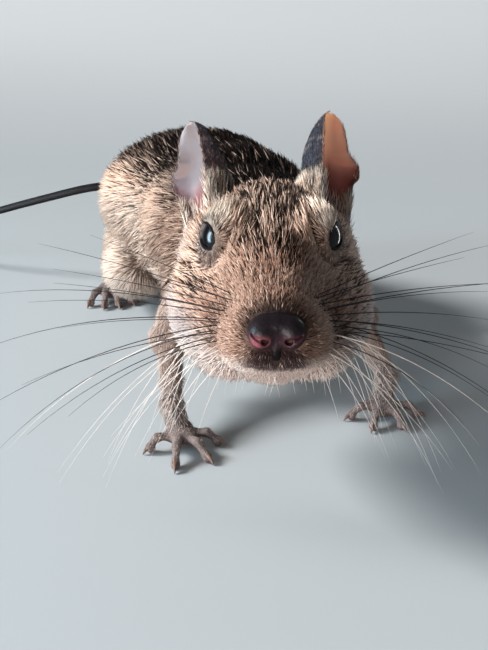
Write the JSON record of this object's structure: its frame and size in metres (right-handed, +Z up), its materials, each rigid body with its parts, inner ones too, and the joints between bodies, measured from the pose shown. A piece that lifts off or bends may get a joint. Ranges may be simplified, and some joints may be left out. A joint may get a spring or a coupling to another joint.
{
  "type": "degu, still life-size model",
  "caption": "Small brown rodent as a still, life-size model: it crouches with its head stretched forward, long whiskers spread, and its brush-tipped tail swept to one side.",
  "frame": {"origin": "on the floor, under the middle of the part's bounding box", "axes": "+Z up; the animal faces -Y; +X towards the animal's left side"},
  "size_m": [0.1868, 0.1772, 0.0585],
  "materials": {
    "face_fur": "short agouti fur, tan with dark streaks",
    "body_fur": "short agouti fur, grey-brown, darker along the back",
    "pale_fur": "short cream fur of the chin, throat and forelegs",
    "tail_fur": "short dark hair, longer in the brush",
    "foot_skin": "grey-pink skin with sparse pale hair",
    "ear_skin": "thin bare skin, brown-pink inside and slate behind",
    "nose_skin": "moist, finely pebbled",
    "eye": "wet gloss"
  },
  "bodies": {
    "root": {"head": "face_fur", "lower_jaw": "pale_fur", "nose": "nose_skin", "whiskers_left": "face_fur", "whiskers_right": "face_fur", "eye_left": "eye", "eye_right": "eye", "ear_left": "ear_skin", "ear_right": "ear_skin", "neck": "body_fur", "torso": "body_fur", "foreleg_left": "pale_fur", "foreleg_right": "pale_fur", "forepaw_left": "foot_skin", "forepaw_right": "foot_skin", "hindleg_left": "body_fur", "hindleg_right": "body_fur", "hindfoot_left": "foot_skin", "hindfoot_right": "foot_skin", "tail_base": "tail_fur", "tail_middle": "tail_fur", "tail_brush": "tail_fur"}
  },
  "joints": []
}
